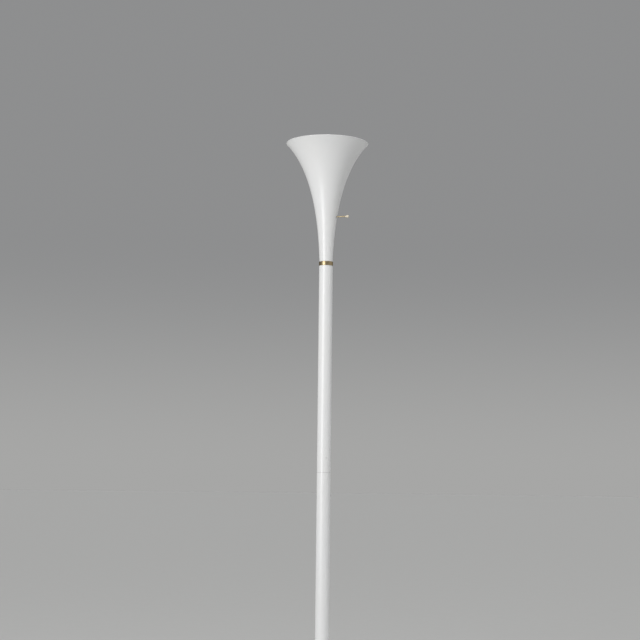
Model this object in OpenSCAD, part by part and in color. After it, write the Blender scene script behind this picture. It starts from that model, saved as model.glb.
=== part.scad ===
// Torchiere floor lamp: a spun trumpet shade on a two-piece pole with a weighted round base.
// Millimetres, +Z up. The origin is the centre of the felt's underside, on the floor.
// The switch rod points along +X and the mains cord enters the base from -X.

/* [Pole] */
// Outer diameter of both pole tubes
pole_d = 44; // [40:0.5:50]
// Wall of the pole tubes
tube_wall = 1.2; // [0.8:0.1:1.6]
// Length of each pole tube
tube_len = 664; // [400:1:750]
// Hairline gap between the two tubes
seam_gap = 0.5; // [0.2:0.1:1]
// Height of the tube joint's grub screw above the seam
joint_screw_h = 45; // [30:1:60]
// Direction of the tube joint's grub screw, from +X
joint_screw_angle = -50; // [-180:5:180]

/* [Neck ring] */
// Outer diameter of the brass ring between pole and shade
ring_d = 45; // [44:0.5:52]
// Height of the brass ring
ring_h = 13; // [12:0.5:20]

/* [Shade] */
// Outer diameter of the shade's foot
shade_foot_d = 42.8; // [42:0.1:46]
// Diameter of the flared curve's end, inside the rolled rim
shade_mouth_d = 265; // [240:1:300]
// Height of the flared curve
shade_h = 387.6; // [360:0.2:420]
// Wall of the spun shade
shade_wall = 1.2; // [0.8:0.1:1.5]
// Radius of the bead rolled round the rim
rim_bead_r = 1.3; // [1:0.1:2]

/* [Base] */
// Outer diameter of the spun base cover
base_d = 260; // [240:1:264]
// Height of the flat on which the pole stands
base_h = 30; // [30:0.5:34]
// Thickness of the felt
felt_h = 3; // [2:0.5:3]
// Wall of the spun base cover
cover_wall = 1.2; // [0.8:0.1:1.5]
// Radius of the hole in the cord bushing
cord_hole_r = 3.3; // [3:0.1:3.4]

/* [Switch] */
// Height of the switch rod above the shade's foot
switch_h = 147; // [140:1:160]
// Radius of the switch rod
rod_r = 2; // [1.5:0.1:2.5]
// Distance from the lamp's axis to the tip of the knob
knob_reach = 75; // [65:1:90]
// Length of the knob
knob_len = 12.5; // [10:0.5:16]
// Largest radius of the knob
knob_r = 4.6; // [3.5:0.1:6]
// Radius of the hole in the shade that the rod passes through
rod_hole_r = 3.6; // [3:0.1:5]

/* [Bulb] */
// Largest radius of the glass
bulb_r = 33.3; // [30:0.1:34]
// Length from the contact tip to the top of the glass
bulb_len = 133.3; // [110:0.1:136]

/* [Hidden] */
$fn = 96;
eps = 0.01;

// Radii of the pole
pole_r = pole_d / 2;
bore_r = pole_r - tube_wall;
plug_r = bore_r - 0.1;
plug_h = 12;

// Threaded lamp pipe, and the holes and nuts that go with it
pipe_r = 5;
pipe_bore_r = 3.8;
tapped_r = pipe_r + 0.05;
clear_r = pipe_r + 0.4;
nut_flats = 14;
nut_h = 4;
washer_r = 9.5;
washer_h = 1.6;
lock_washer_h = 1.2;

// Heights of the pole, neck and shade
seam_z = base_h + tube_len;
upper_tube_z = seam_z + seam_gap;
neck_z = upper_tube_z + tube_len;
shade_z = neck_z + ring_h;
switch_z = shade_z + switch_h;

// Stack below the pole: the counterbore's ceiling carries washer, lock washer and nut
counterbore_r = 16;
counterbore_z = 19.8;
base_washer_z = counterbore_z - washer_h;
base_lock_washer_z = base_washer_z - lock_washer_h;
base_nut_z = base_lock_washer_z - nut_h;
base_nipple_z = base_nut_z - 0.8;
base_nipple_top = base_h + plug_h + 2;

// Cord route in the base
cord_z = 8.5;
channel_w = 10;
channel_top = 13.5;
bushing_r = 4.1;
bushing_len = 11;
bushing_flange_r = 5.8;
bushing_flange_h = 2;

// Outline of the base cover: skirt, shoulder and top, from the outside inwards
base_r = base_d / 2;
skirt_z = 2;
shoulder_z = 13;
hem_r = 1.3;
shoulder_curve = [[base_r, shoulder_z], [base_r, shoulder_z + 7.5], [base_r - 6, base_h - 7],
                  [base_r - 22, base_h - 5.6]];
top_curve = [[base_r - 22, base_h - 5.6], [base_r - 50, base_h - 3.1], [base_r - 80, base_h],
             [pole_r + 2, base_h]];
weight_r = base_r - 4;
weight_top = 17;
weight_chamfer = 2;
weight_boss_r = 20;

// Tube joint: sleeve, grub screw and the dish pressed round it
sleeve_below = 50;
sleeve_above = 70;
sleeve_wall = 2.25;
grub_r = 2.5;
grub_len = 5;
dish_sphere_r = 11;
dish_depth = 1;

// Outline of the shade, foot to rim, above its foot
shade_curve = [[shade_foot_d / 2, 0], [25.9, 0.348 * shade_h], [48.4, 0.771 * shade_h],
               [shade_mouth_d / 2, shade_h]];
shade_steps = 44;
foot_plate_z = shade_z + shade_wall;
foot_plate_h = 3;

// Lampholder, measured from the switch rod's axis
cap_r = 18;
cap_wall = 0.7;
cap_neck_r = 7;
cap_neck_low = -27;
cap_floor = -18;
cap_lip = -4;
shell_r = 17.5;
shell_wall = 0.5;
shell_low = -9;
shell_top = 43;
liner_r = 16.9;
liner_wall = 0.8;
block_r = 14.5;
block_low = -9;
block_top = 12;
terminal_flat = 11.5;
terminal_z = -3;
cam_r = 5;
cam_bore_r = 5.3;
cam_end = 12;
thread_shell_r = 13.9;
thread_shell_in_r = 13.4;
thread_shell_top = 39.5;
strip_t = 0.6;
nipple_top = switch_z + cap_floor;

// Bulb, measured from its contact tip
bulb_z = switch_z + 16.9;
bulb_cap_r = 13.1;
bulb_cap_wall = 0.3;
glass_wall = 0.8;
glass_centre = bulb_len - bulb_r;
glass_neck_curve = [[12.4, 22], [13.5, 0.56 * glass_centre], [bulb_r, 0.66 * glass_centre],
                    [bulb_r, glass_centre]];
stem_top = 60;
support_r = 0.4;
support_start = 1.8;
support_bend_z = 64;
support_lean = 16;
support_len = 25;
filament_r = 0.5;
filament_z = 86.5;

// Lead wires: two insulated cores side by side
lead_r = 1.5;
lead_pitch = 1.6;
lead_bend_r = 6;
fan_bend_r = 4;
lead_end_x = 2.2;
lead_end_y = 12.2;
copper_r = 0.6;

// ---------- helpers ----------

// Point of a cubic Bezier curve p at t
function bezier(p, t) =
    pow(1 - t, 3) * p[0] + 3 * t * pow(1 - t, 2) * p[1] + 3 * t * t * (1 - t) * p[2] + pow(t, 3) * p[3];

// Direction of the curve p at t
function bezier_slope(p, t) =
    pow(1 - t, 2) * (p[1] - p[0]) + 2 * t * (1 - t) * (p[2] - p[1]) + t * t * (p[3] - p[2]);

// The curve p in n steps, moved sideways to its left by d
function curve(p, n, d = 0) = [
    for (i = [0:n])
        let (t = i / n, s = bezier_slope(p, t))
            bezier(p, t) + d * [-s.y, s.x] / norm(s)
];

function reverse(list) = [for (i = [len(list) - 1:-1:0]) list[i]];

// Points of an arc about c from angle a to angle b
function arc(c, r, a, b, n) = [
    for (i = [0:n])
        let (angle = a + (b - a) * i / n)
            c + r * [cos(angle), sin(angle)]
];

module ring(r_out, r_in, h) {
    difference() {
        cylinder(r = r_out, h = h);
        translate([0, 0, -1]) cylinder(r = r_in, h = h + 2);
    }
}

// Hexagonal nut with a plain hole
module hex_nut(flats, h, hole_r) {
    difference() {
        cylinder(r = flats / sqrt(3), h = h, $fn = 6);
        translate([0, 0, -1]) cylinder(r = hole_r, h = h + 2);
    }
}

// Split spring washer: a ring with a slanted cut
module split_washer(r_out, r_in, h) {
    difference() {
        ring(r_out, r_in, h);
        translate([r_in - 1, 0, h / 2]) rotate([35, 0, 0]) translate([0, -0.5, -h * 2])
            cube([r_out, 1, h * 4]);
    }
}

// Quarter bend of a round wire. It starts at the origin going up and ends going along +X.
module wire_bend(wire_r, bend_r) {
    translate([bend_r, 0, 0]) rotate([90, 0, 0]) rotate([0, 0, 90]) rotate_extrude(angle = 90)
        translate([bend_r, 0]) circle(r = wire_r);
}

// ---------- base ----------

module base_felt() {
    color("darkslategray") cylinder(r = weight_r, h = felt_h);
}

// Cast disc with a raised boss that carries the cover and the pole
module base_weight() {
    color("dimgray") difference() {
        rotate_extrude() polygon([
            [0, felt_h], [weight_r, felt_h], [weight_r, weight_top - weight_chamfer],
            [weight_r - weight_chamfer, weight_top], [weight_boss_r + 3, weight_top],
            [weight_boss_r, weight_top + 3], [weight_boss_r, base_h - cover_wall],
            [0, base_h - cover_wall]
        ]);
        translate([0, 0, felt_h - 1]) cylinder(r = counterbore_r, h = counterbore_z - felt_h + 1);
        cylinder(r = clear_r, h = base_h + 1);
        translate([-base_r, -channel_w / 2, felt_h - 1])
            cube([base_r, channel_w, channel_top - felt_h + 1]);
    }
}

module base_cover() {
    outer = concat(curve(shoulder_curve, 14), curve(top_curve, 16));
    inner = concat(curve(shoulder_curve, 14, cover_wall), curve(top_curve, 16, cover_wall));
    color("white") difference() {
        union() {
            rotate_extrude() polygon(concat(
                [[base_r, skirt_z + hem_r]], outer, [[clear_r, base_h], [clear_r, base_h - cover_wall]],
                reverse(inner), [[base_r - cover_wall, skirt_z + hem_r]]
            ));
            rotate_extrude() translate([base_r - hem_r, skirt_z + hem_r]) circle(r = hem_r);
        }
        translate([-base_r - 5, 0, cord_z]) rotate([0, 90, 0]) cylinder(r = bushing_r + 0.1, h = 10);
    }
}

// Moulded bushing that snaps into the skirt; the cord passes through its hole
module cord_bushing() {
    color("saddlebrown") translate([-base_r, 0, cord_z]) rotate([0, 90, 0]) difference() {
        union() {
            translate([0, 0, -bushing_flange_h]) cylinder(r = bushing_flange_r, h = bushing_flange_h);
            translate([0, 0, -eps]) cylinder(r = bushing_r, h = bushing_len - bushing_flange_h + eps);
            translate([0, 0, 3]) cylinder(r1 = bushing_r + 0.7, r2 = bushing_r, h = 2);
        }
        translate([0, 0, -bushing_flange_h - 1]) cylinder(r = cord_hole_r, h = bushing_len + 2);
    }
}

module base_nipple() {
    color("silver") translate([0, 0, base_nipple_z])
        ring(pipe_r, pipe_bore_r, base_nipple_top - base_nipple_z);
}

module base_washer() {
    color("silver") translate([0, 0, base_washer_z]) ring(washer_r, clear_r, washer_h);
}

module base_lock_washer() {
    color("gray") translate([0, 0, base_lock_washer_z])
        split_washer(washer_r - 1.5, clear_r, lock_washer_h);
}

module base_nut() {
    color("silver") translate([0, 0, base_nut_z]) hex_nut(nut_flats, nut_h, tapped_r);
}

// ---------- pole ----------

module threaded_plug() {
    difference() {
        cylinder(r = plug_r, h = plug_h);
        translate([0, 0, -1]) cylinder(r = tapped_r, h = plug_h + 2);
    }
}

module pole_foot_plug() {
    color("gray") translate([0, 0, base_h]) threaded_plug();
}

module lower_tube() {
    color("white") translate([0, 0, base_h]) ring(pole_r, bore_r, tube_len);
}

module tube_coupler() {
    color("gray") difference() {
        translate([0, 0, seam_z - sleeve_below])
            ring(plug_r, plug_r - sleeve_wall, sleeve_below + sleeve_above);
        at_joint_screw() cylinder(r = grub_r + 0.05, h = pole_r);
    }
}

// Places a child at the grub screw, with +Z pointing out of the pole
module at_joint_screw() {
    translate([0, 0, seam_z + joint_screw_h]) rotate([0, 0, joint_screw_angle]) rotate([0, 90, 0])
        children();
}

module coupler_screw() {
    face = pole_r - dish_depth;
    color("white") at_joint_screw() difference() {
        translate([0, 0, face - grub_len]) cylinder(r = grub_r, h = grub_len);
        translate([-grub_r - 1, -0.4, face - 1]) cube([2 * grub_r + 2, 0.8, 2]);
    }
}

module upper_tube() {
    color("white") difference() {
        translate([0, 0, upper_tube_z]) ring(pole_r, bore_r, tube_len);
        at_joint_screw() {
            translate([0, 0, pole_r - dish_depth + dish_sphere_r]) sphere(r = dish_sphere_r);
            cylinder(r = grub_r + 0.1, h = pole_r + 2);
        }
    }
}

module pole_top_plug() {
    color("gray") translate([0, 0, neck_z - plug_h]) threaded_plug();
}

module neck_ring() {
    chamfer = 0.6;
    ring_r = ring_d / 2;
    web = 3;
    color("goldenrod") translate([0, 0, neck_z]) rotate_extrude() polygon([
        [ring_r - 4, 0], [ring_r - chamfer, 0], [ring_r, chamfer], [ring_r, ring_h - chamfer],
        [ring_r - chamfer, ring_h], [clear_r, ring_h], [clear_r, ring_h - web], [ring_r - 4, ring_h - web]
    ]);
}

module neck_nipple() {
    low = neck_z - plug_h + 2;
    color("silver") translate([0, 0, low]) ring(pipe_r, pipe_bore_r, nipple_top - low);
}

// ---------- shade ----------

// Spun trumpet with a flat floor inside its foot and a bead rolled round its rim
module shade() {
    outer = curve(shade_curve, shade_steps);
    inner = curve(shade_curve, shade_steps, shade_wall);
    rim = (outer[shade_steps] + inner[shade_steps]) / 2;
    wall = [for (p = reverse(inner)) if (p.y > shade_wall) p];
    floor_r = shade_foot_d / 2 - shade_wall;
    color("white") translate([0, 0, shade_z]) difference() {
        union() {
            rotate_extrude() polygon(concat(
                [[clear_r, 0]], outer, wall, [[floor_r, shade_wall], [clear_r, shade_wall]]
            ));
            rotate_extrude() translate(rim) circle(r = rim_bead_r);
        }
        translate([0, 0, switch_h]) rotate([0, 90, 0]) cylinder(r = rod_hole_r, h = shade_foot_d * 2);
    }
}

module shade_foot_plate() {
    color("gray") translate([0, 0, foot_plate_z])
        ring(shade_foot_d / 2 - shade_wall - 0.1, clear_r, foot_plate_h);
}

module shade_washer() {
    color("silver") translate([0, 0, foot_plate_z + foot_plate_h]) ring(washer_r, clear_r, washer_h);
}

module shade_nut() {
    color("silver") translate([0, 0, foot_plate_z + foot_plate_h + washer_h])
        hex_nut(nut_flats, nut_h, tapped_r);
}

// ---------- lampholder ----------

module at_switch() {
    translate([0, 0, switch_z]) children();
}

// Spun lower cap with a tapped neck that screws onto the nipple
module socket_cap() {
    bend = cap_r - 10;
    centre = [10, cap_floor + bend];
    lip_in_r = shell_r + 0.05;
    color("goldenrod") at_switch() difference() {
        rotate_extrude() polygon(concat(
            [[tapped_r, cap_neck_low], [cap_neck_r, cap_neck_low], [cap_neck_r, cap_floor]],
            arc(centre, bend, -90, 0, 10),
            [[cap_r, cap_lip], [lip_in_r, cap_lip], [lip_in_r, shell_low - 0.4]],
            arc(centre, bend - cap_wall, 0, -90, 10),
            [[tapped_r, cap_floor + cap_wall]]
        ));
        cap_screw_hole();
    }
}

// Tapped hole through the neck, on the side away from the switch rod
module cap_screw_hole() {
    translate([-cap_neck_r - 1, 0, (cap_neck_low + cap_floor) / 2]) rotate([0, 90, 0])
        cylinder(r = 1.5, h = 4);
}

module socket_cap_screw() {
    color("goldenrod") at_switch() translate([-cap_neck_r - 1.5, 0, (cap_neck_low + cap_floor) / 2])
        rotate([0, 90, 0]) difference() {
            cylinder(r = 1.45, h = 3.4);
            translate([-3, -0.3, -1]) cube([6, 0.6, 1.7]);
        }
}

// Notch that lets the switch rod out through a sleeve's lower edge
module rod_notch(half_w, top) {
    translate([0, -half_w, shell_low - 1]) cube([cap_r + 5, 2 * half_w, top - shell_low + 1]);
}

module socket_shell() {
    color("goldenrod") at_switch() difference() {
        translate([0, 0, shell_low]) ring(shell_r, shell_r - shell_wall, shell_top - shell_low);
        rod_notch(5, 5);
    }
}

module socket_liner() {
    color("tan") at_switch() difference() {
        translate([0, 0, shell_low + 2]) ring(liner_r, liner_r - liner_wall, shell_top - shell_low - 3);
        rod_notch(4.5, 4.5);
    }
}

// Moulded body with flats for the terminals, a bore for the cam and a pocket for its leaf
module socket_block() {
    color("saddlebrown") at_switch() difference() {
        translate([0, 0, block_low]) cylinder(r = block_r, h = block_top - block_low);
        for (side = [-1, 1]) {
            translate([-block_r, side * (terminal_flat + 5) - 5, block_low - 1])
                cube([2 * block_r, 10, 12]);
            translate([0, 0, terminal_z]) rotate([-90 * side, 0, 0]) translate([0, 0, 7])
                cylinder(r = 1.55, h = 10);
        }
        rotate([0, 90, 0]) translate([0, 0, 0.5]) cylinder(r = cam_bore_r, h = block_r);
        translate([3, -2, -8]) cube([6, 4, 4]);
    }
}

module terminal_screws() {
    color("gold") at_switch() for (side = [-1, 1])
        translate([0, 0, terminal_z]) rotate([-90 * side, 0, 0]) difference() {
            union() {
                translate([0, 0, 8]) cylinder(r = 1.5, h = 5);
                translate([0, 0, 12.9]) cylinder(r = 3, h = 1.8);
            }
            translate([-4, -0.35, 13.9]) cube([8, 0.7, 2]);
        }
}

// Shell that takes the bulb's thread, drawn at the thread's clearance radius
module screw_shell() {
    color("silver") at_switch() rotate_extrude() polygon([
        [8, block_top], [thread_shell_r, block_top], [thread_shell_r, thread_shell_top],
        [thread_shell_in_r, thread_shell_top], [thread_shell_in_r, block_top + strip_t],
        [8, block_top + strip_t]
    ]);
}

module strip(outline, width) {
    translate([0, width / 2, 0]) rotate([90, 0, 0]) linear_extrude(height = width) polygon(outline);
}

// Bent spring strip under the bulb's tip
module centre_contact() {
    color("gold") at_switch() translate([0, 0, block_top]) strip([
        [-7.5, 0], [-3, 0], [-0.5, 3.9], [2.2, 3.9], [2.2, 4.5], [-0.9, 4.5], [-3.3, strip_t],
        [-7.5, strip_t]
    ], 4);
}

// Bent spring strip under the bulb's second contact, used by the low filament
module ring_contact() {
    color("gold") at_switch() translate([0, 0, block_top]) strip([
        [7.6, 0], [7.6, strip_t], [6.6, strip_t], [6, 6.4], [4.4, 6.4], [4.4, 5.8], [5.5, 5.8], [6, 0]
    ], 3);
}

// ---------- switch ----------

// Brass leaf that the cam works against
module switch_leaf() {
    color("gold") at_switch() translate([3, -1.8, -5.9]) cube([6, 3.6, 0.5]);
}

module switch_cam() {
    color("black") at_switch() rotate([0, 90, 0]) difference() {
        translate([0, 0, 1]) cylinder(r = cam_r, h = cam_end - 1);
        for (a = [45:90:315]) rotate([0, 0, a]) translate([cam_r, 0, 0]) cylinder(r = 1.6, h = 6);
        translate([0, 0, 6]) cylinder(r = rod_r + 0.02, h = cam_end);
    }
}

module switch_rod() {
    color("goldenrod") at_switch() rotate([0, 90, 0]) translate([0, 0, 6])
        cylinder(r = rod_r, h = knob_reach - knob_len - 6);
}

// Turned knob: a short collar, then an egg-shaped body
module switch_knob() {
    neck = 2;
    body_len = knob_len - neck;
    body = [for (i = [0:16]) let (a = 180 * i / 16)
        [max(0, knob_r * sin(a) * (1 - 0.12 * cos(a))), neck + body_len * (1 - cos(a)) / 2]];
    color("gold") at_switch() rotate([0, 90, 0]) translate([0, 0, knob_reach - knob_len])
        union() {
            cylinder(r = rod_r + 0.6, h = neck + 1);
            rotate_extrude() polygon(body);
        }
}

// ---------- bulb ----------

module at_bulb() {
    translate([0, 0, bulb_z]) children();
}

module bulb_tip() {
    color("silver") at_bulb() union() {
        cylinder(r1 = 1.8, r2 = 2.6, h = 0.8);
        translate([0, 0, 0.8]) cylinder(r = 2.6, h = 0.8);
    }
}

module bulb_ring() {
    color("gold") at_bulb() translate([0, 0, 2.2]) ring(6.2, 4, 0.7);
}

module bulb_insulator() {
    color("black") at_bulb() rotate_extrude() polygon([
        [0, 1.6], [3.2, 1.6], [3.9, 2.9], [6.3, 2.9], [7, 2.4], [12, 6.5], [12, 8], [0, 8]
    ]);
}

module bulb_cap() {
    color("silver") at_bulb() rotate_extrude() polygon([
        [12.05, 6.6], [bulb_cap_r - 0.2, 7], [bulb_cap_r, 7.6], [bulb_cap_r, 25],
        [bulb_cap_r + 0.3, 27], [bulb_cap_r, 27], [bulb_cap_r - bulb_cap_wall, 25],
        [bulb_cap_r - bulb_cap_wall, 8.1], [12.05, 8.1]
    ]);
}

module bulb_glass() {
    crown = [0, glass_centre];
    outer = concat(curve(glass_neck_curve, 18), arc(crown, bulb_r, 6, 90, 15));
    inner = concat(curve(glass_neck_curve, 18, glass_wall), arc(crown, bulb_r - glass_wall, 6, 90, 15));
    color("white", 0.6) at_bulb() rotate_extrude() polygon(concat(outer, reverse(inner)));
}

module bulb_stem() {
    color("lightgray") at_bulb() rotate_extrude() polygon([
        [0, 30], [7, 24], [11.4, 22.4], [11.4, 23.4], [8, 26], [3.4, 34], [2.8, 44],
        [2.8, stem_top], [0, stem_top]
    ]);
}

// Lead-in wires: upright from the stem, then leaning outwards from a weld
module bulb_supports() {
    color("silver") at_bulb() for (a = [0:120:240]) rotate([0, 0, a]) translate([support_start, 0, 0]) {
        translate([0, 0, stem_top]) cylinder(r = support_r, h = support_bend_z - stem_top);
        translate([0, 0, support_bend_z]) sphere(r = support_r + 0.15);
        translate([0, 0, support_bend_z]) rotate([0, support_lean, 0])
            cylinder(r = support_r, h = support_len);
    }
}

// Two coiled filaments between the three lead-in wires, drawn at their coils' outer size
module bulb_filaments() {
    reach = support_start + (filament_z - support_bend_z) * tan(support_lean);
    span = reach * sqrt(3) - 2;
    color("orange") at_bulb() for (a = [60, 180]) rotate([0, 0, a])
        translate([reach / 2, -span / 2, filament_z]) rotate([-90, 0, 0])
            cylinder(r = filament_r, h = span);
}

// ---------- wiring ----------

// One insulated core, from the bushing to its terminal: along the base, up the pole, and
// out under the lampholder's block. side is 1 or -1.
module lead(side) {
    y = side * lead_pitch;
    start_x = -base_r + bushing_len - bushing_flange_h + 0.3;
    fan_z = switch_z + cap_floor + 0.2;
    run = norm([lead_end_x, lead_end_y - lead_pitch]);
    turn = atan2(side * (lead_end_y - lead_pitch), lead_end_x);
    fan_r = lead_r - 0.2;
    lap = 0.05;
    translate([start_x, y, cord_z]) rotate([0, 90, 0]) cylinder(r = lead_r, h = -start_x - lead_bend_r);
    translate([0, y, cord_z + lead_bend_r]) rotate([0, 180, 0]) wire_bend(lead_r, lead_bend_r);
    translate([0, y, cord_z + lead_bend_r]) cylinder(r = lead_r, h = fan_z - cord_z - lead_bend_r);
    translate([0, y, fan_z]) rotate([0, 0, turn]) {
        wire_bend(fan_r, fan_bend_r);
        translate([fan_bend_r - lap, 0, fan_bend_r]) rotate([0, 90, 0])
            cylinder(r = fan_r - lap, h = run - 2 * fan_bend_r + 2 * lap);
        translate([run, 0, 2 * fan_bend_r]) rotate([0, 180, 0]) wire_bend(fan_r, fan_bend_r);
    }
}

module lead_live() {
    color("black") lead(1);
}

module lead_neutral() {
    color("whitesmoke") lead(-1);
}

// Bare copper ends that go under the terminal screws' heads
module lead_ends() {
    low = cap_floor + 0.2 + 2 * fan_bend_r;
    color("chocolate") at_switch() for (side = [-1, 1])
        translate([lead_end_x, side * lead_end_y, low]) cylinder(r = copper_r, h = terminal_z - low);
}

base_felt();
base_weight();
base_cover();
cord_bushing();
base_nipple();
base_washer();
base_lock_washer();
base_nut();
pole_foot_plug();
lower_tube();
tube_coupler();
coupler_screw();
upper_tube();
pole_top_plug();
neck_ring();
neck_nipple();
shade();
shade_foot_plate();
shade_washer();
shade_nut();
socket_cap();
socket_cap_screw();
socket_shell();
socket_liner();
socket_block();
terminal_screws();
screw_shell();
centre_contact();
ring_contact();
switch_leaf();
switch_cam();
switch_rod();
switch_knob();
bulb_tip();
bulb_ring();
bulb_insulator();
bulb_cap();
bulb_glass();
bulb_stem();
bulb_supports();
bulb_filaments();
lead_live();
lead_neutral();
lead_ends();
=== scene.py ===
"""Torchiere floor lamp: the looks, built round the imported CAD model. Metres, +Z up."""

import math

import bmesh
import bpy
from mathutils import Matrix, Vector, noise


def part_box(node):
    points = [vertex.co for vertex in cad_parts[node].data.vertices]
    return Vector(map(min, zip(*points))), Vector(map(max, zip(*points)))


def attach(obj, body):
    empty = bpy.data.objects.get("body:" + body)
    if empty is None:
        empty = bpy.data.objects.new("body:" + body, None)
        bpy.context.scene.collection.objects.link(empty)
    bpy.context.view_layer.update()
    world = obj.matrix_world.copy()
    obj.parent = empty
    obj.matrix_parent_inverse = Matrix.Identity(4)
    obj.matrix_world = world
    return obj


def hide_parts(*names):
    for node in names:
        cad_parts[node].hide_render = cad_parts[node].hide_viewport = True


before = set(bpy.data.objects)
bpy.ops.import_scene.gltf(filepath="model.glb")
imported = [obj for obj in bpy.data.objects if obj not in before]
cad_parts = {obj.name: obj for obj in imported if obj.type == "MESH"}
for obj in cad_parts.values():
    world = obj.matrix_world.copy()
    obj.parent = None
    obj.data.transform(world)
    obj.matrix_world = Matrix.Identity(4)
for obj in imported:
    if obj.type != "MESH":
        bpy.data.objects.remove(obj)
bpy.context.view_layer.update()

TAU = 2 * math.pi
MM = 0.001
SHARP_EDGE = math.radians(38)


# ---------------------------------------------------------------- outlines

def bezier(p, t):
    """Point of a cubic Bezier curve whose control points are (r, z) pairs."""
    k = ((1 - t) ** 3, 3 * t * (1 - t) ** 2, 3 * t * t * (1 - t), t**3)
    return Vector((sum(a * q[0] for a, q in zip(k, p)), sum(a * q[1] for a, q in zip(k, p))))


def beside(p, t, offset):
    """Point of the curve p at t, moved to the curve's left by offset."""
    step = bezier(p, min(1, t + 1e-4)) - bezier(p, max(0, t - 1e-4))
    step.normalize()
    return bezier(p, t) + offset * Vector((-step.y, step.x))


def curve(p, n, offset=0.0):
    """n + 1 points of the curve p, moved to its left by offset."""
    return [beside(p, i / n, offset) for i in range(n + 1)]


def arc(centre, radius, start, end, n):
    """n + 1 points of an arc, with its angles in degrees."""
    angles = [math.radians(start + (end - start) * i / n) for i in range(n + 1)]
    return [Vector(centre) + radius * Vector((math.cos(a), math.sin(a))) for a in angles]


def in_mm(points):
    """The points, which are given in millimetres, in metres."""
    return [Vector(p) * MM for p in points]


def rounded(outline, radius, n=4, closed=True):
    """The outline with its corners rounded. radius is one number, or one per corner."""
    pts = [Vector(p) for p in outline]
    radii = radius if isinstance(radius, (list, tuple)) else [radius] * len(pts)
    found = []
    for i, p in enumerate(pts):
        if radii[i] <= 0 or (not closed and i in (0, len(pts) - 1)):
            found.append(p)
            continue
        a, b = pts[i - 1] - p, pts[(i + 1) % len(pts)] - p
        half = a.angle(b) / 2
        back = min(radii[i] / math.tan(half), 0.45 * a.length, 0.45 * b.length)
        start, end = p + back * a.normalized(), p + back * b.normalized()
        for k in range(n + 1):
            t = k / n
            found.append((1 - t) ** 2 * start + 2 * t * (1 - t) * p + t * t * end)
    return found


def steps(lo, hi, spacing):
    """Evenly spaced numbers from lo to hi, no further apart than spacing."""
    n = max(1, math.ceil((hi - lo) / spacing - 1e-9))
    return [lo + (hi - lo) * i / n for i in range(n + 1)]


# ---------------------------------------------------------------- meshes

class Turned:
    """A surface of revolution about local Z, kept as a grid so that holes and dents can be let in.

    rows are (r, z) pairs, or functions of the angle that return one."""

    def __init__(self, rows, seg, closed=False):
        self.bm = bmesh.new()
        self.seg, self.closed = seg, closed
        self.rows, self.grid, self.open_cells = rows, [], set()
        for row in rows:
            if not callable(row) and row[0] < 1e-7:
                self.grid.append([self.bm.verts.new((0, 0, row[1]))] * seg)
                continue
            line = []
            for i in range(seg):
                a = TAU * i / seg
                r, z = row(a) if callable(row) else row
                line.append(self.bm.verts.new((r * math.cos(a), r * math.sin(a), z)))
            self.grid.append(line)

    def hole(self, angle, z, radius, cells, side, rings=4, dish=None):
        """Lets a round hole into the rows numbered side[0] to side[1] and returns its edge.

        cells is the half size of the square of cells that makes room for it, as (round, along).
        dish(r, across, along) gives the radius of the surface once it is pressed in."""
        first, last = side
        mid_row = min(range(first, last + 1), key=lambda j: abs(self.rows[j][1] - z))
        mid = round(angle / TAU * self.seg)
        i0, i1 = mid - cells[0], mid + cells[0]
        j0, j1 = mid_row - cells[1], mid_row + cells[1]
        reach = self.rows[mid_row][0]

        def radius_at(height):
            for j in range(j0, j1):
                (r0, z0), (r1, z1) = self.rows[j], self.rows[j + 1]
                if min(z0, z1) - 1e-9 <= height <= max(z0, z1) + 1e-9:
                    return r0 + (r1 - r0) * (height - z0) / (z1 - z0)
            return reach

        self.open_cells |= {(j, i % self.seg) for j in range(j0, j1) for i in range(i0, i1)}
        edge = [(i, j0) for i in range(i0, i1 + 1)] + [(i1, j) for j in range(j0 + 1, j1 + 1)]
        edge += [(i, j1) for i in range(i1 - 1, i0 - 1, -1)]
        edge += [(i0, j) for j in range(j1 - 1, j0, -1)]
        columns = []
        for i, j in edge:
            u, v = (TAU * i / self.seg - angle) * reach, self.rows[j][1] - z
            turn = math.atan2(v, u)
            column = [self.grid[j][i % self.seg]]
            for k in range(1, rings + 1):
                t = k / rings
                pu = u + (radius * math.cos(turn) - u) * t
                pv = v + (radius * math.sin(turn) - v) * t
                r = radius_at(z + pv)
                if dish:
                    r = dish(r, pu, pv)
                a = angle + pu / reach
                column.append(self.bm.verts.new((r * math.cos(a), r * math.sin(a), z + pv)))
            columns.append((turn, column))
        for n in range(len(columns)):
            a, b = columns[n][1], columns[(n + 1) % len(columns)][1]
            for k in range(rings):
                self.bm.faces.new((a[k], b[k], b[k + 1], a[k + 1]))
        return [c[1][-1] for c in sorted(columns, key=lambda c: (c[0] - 0.5) % TAU)]

    def join(self, one, other):
        """A wall between the edges of two holes."""
        n = len(one)
        for k in range(n):
            self.bm.faces.new((one[k], one[(k + 1) % n], other[(k + 1) % n], other[k]))

    def mesh(self):
        """The finished bmesh, without the cells that were opened."""
        count = len(self.rows)
        for j in range(count if self.closed else count - 1):
            low, high = self.grid[j], self.grid[(j + 1) % count]
            for i in range(self.seg):
                if (j, i) in self.open_cells:
                    continue
                k = (i + 1) % self.seg
                corners = list(dict.fromkeys((low[i], low[k], high[k], high[i])))
                if len(corners) > 2:
                    self.bm.faces.new(corners)
        loose = [v for v in self.bm.verts if not v.link_faces]
        bmesh.ops.delete(self.bm, geom=loose, context="VERTS")
        return self.bm


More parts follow.
